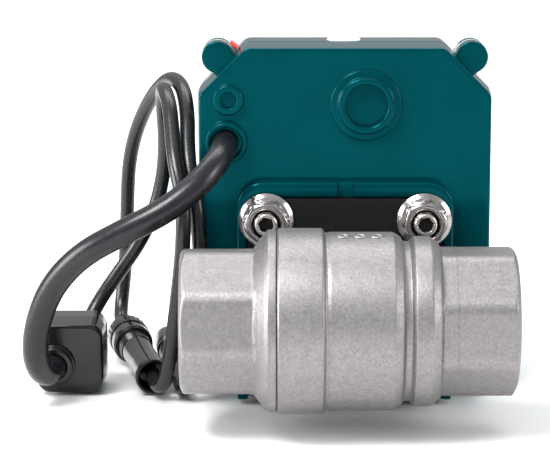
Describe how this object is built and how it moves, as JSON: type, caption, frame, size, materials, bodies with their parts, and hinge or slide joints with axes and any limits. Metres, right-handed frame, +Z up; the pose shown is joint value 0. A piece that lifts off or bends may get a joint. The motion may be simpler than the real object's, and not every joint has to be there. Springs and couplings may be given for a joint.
{
  "type": "motorized ball valve",
  "caption": "Motorised ball valve: a threaded stainless ball valve turned by a gear actuator in a teal case, with a cable, junction box and round connectors.",
  "frame": {"origin": "centre of the bottom face of the box around the object without its cables", "axes": "+X along the flow, +Y from the valve towards the actuator's window, +Z up"},
  "size_m": [0.0929, 0.0922, 0.07],
  "materials": {
    "cast_stainless": "fine blasted cast stainless steel",
    "nut_steel": "turned bright stainless steel",
    "ball_steel": "mirror ground",
    "machined_steel": "machined",
    "ptfe": "smooth white",
    "teal_case": "glossy moulded",
    "pale_gasket": "smooth",
    "lens_white": "translucent",
    "clear_window": "clear moulded",
    "plate_black": "moulded black",
    "black_shell": "satin moulded black",
    "cable_jacket": "satin",
    "gear_nylon": "moulded natural",
    "gear_steel": "sintered and plated",
    "bronze": "turned",
    "contact_gold": "plated",
    "magnet": "sintered",
    "board_green": "lacquered laminate",
    "pointer_yellow": "moulded",
    "paint_red": "brushed on"
  },
  "bodies": {
    "frame": {"valve_body": "cast_stainless", "end_cap": "cast_stainless", "flange_nuts": "nut_steel", "mounting_studs": "nut_steel", "gear_arbors": "machined_steel", "adapter_screws": "machined_steel", "cover_screws": "machined_steel", "frame_screws": "machined_steel", "seat_left": "ptfe", "seat_right": "ptfe", "body_seal": "ptfe", "stem_packing": "ptfe", "stem_thrust_washer": "ptfe", "base_housing": "teal_case", "cover": "teal_case", "cover_gasket": "pale_gasket", "window_seal": "pale_gasket", "status_lens": "lens_white", "window": "clear_window", "adapter_plate": "plate_black", "terminal_block": "plate_black", "driver_chip": "plate_black", "capacitor": "plate_black", "junction_box": "black_shell", "junction_gland": "black_shell", "connector_shell": "black_shell", "plug_shell": "black_shell", "main_cable": "cable_jacket", "inner_lead": "cable_jacket", "outer_lead": "cable_jacket", "inner_wires": "cable_jacket", "cable_grommet": "cable_jacket", "motor_end_cap": "gear_nylon", "gear_plate": "gear_steel", "motor_case": "gear_steel", "front_bush": "bronze", "upper_bush": "bronze", "packing_gland": "bronze", "board_spacers": "bronze", "plug_pins": "contact_gold", "motor_pins": "contact_gold", "position_track": "contact_gold", "motor_magnets": "magnet", "circuit_board": "board_green", "seal_dab": "paint_red"},
    "valve_drive": {"valve_ball": "ball_steel", "valve_stem": "machined_steel", "output_shaft": "machined_steel", "shaft_ring": "machined_steel", "output_gear": "gear_steel", "position_wiper": "gear_nylon", "indicator_pointer": "pointer_yellow"},
    "gear_3": {"gear_3": "gear_nylon"},
    "gear_2": {"gear_2": "gear_nylon"},
    "gear_1": {"gear_1": "gear_nylon"},
    "motor_rotor": {"motor_rotor": "machined_steel", "motor_pinion": "gear_steel"},
    "connector_ring": {"connector_ring": "black_shell"}
  },
  "joints": [
    {"name": "valve_turn", "type": "hinge", "parent": "frame", "child": "valve_drive", "pos_m": [0, -0.0254, 0.0212], "axis": [0, -1, 0], "range_deg": [0, 90]},
    {"name": "gear_3_turn", "type": "hinge", "parent": "frame", "child": "gear_3", "pos_m": [-0.00851, -0.0254, 0.0404], "axis": [0, -1, 0], "range_deg": [-361, 1]},
    {"name": "gear_2_turn", "type": "hinge", "parent": "frame", "child": "gear_2", "pos_m": [0.00444, -0.0254, 0.04156], "axis": [0, -1, 0], "range_deg": [-1, 1201]},
    {"name": "gear_1_turn", "type": "hinge", "parent": "frame", "child": "gear_1", "pos_m": [0.01287, -0.0254, 0.0501], "axis": [0, -1, 0], "range_deg": [-3601, 1]},
    {"name": "motor_turn", "type": "hinge", "parent": "frame", "child": "motor_rotor", "pos_m": [0.004, -0.0254, 0.05819], "axis": [0, -1, 0], "range_deg": [-1, 10801]},
    {"name": "connector_ring_turn", "type": "hinge", "parent": "frame", "child": "connector_ring", "pos_m": [-0.04366, 0.02992, 0.00446], "axis": [-0.2126, 0.9767, 0.0296], "continuous": true}
  ],
  "couplings": [
    {"joint": "gear_3_turn", "follows": "valve_turn", "ratio": -4},
    {"joint": "gear_2_turn", "follows": "valve_turn", "ratio": 13.333},
    {"joint": "gear_1_turn", "follows": "valve_turn", "ratio": -40},
    {"joint": "motor_turn", "follows": "valve_turn", "ratio": 120}
  ]
}
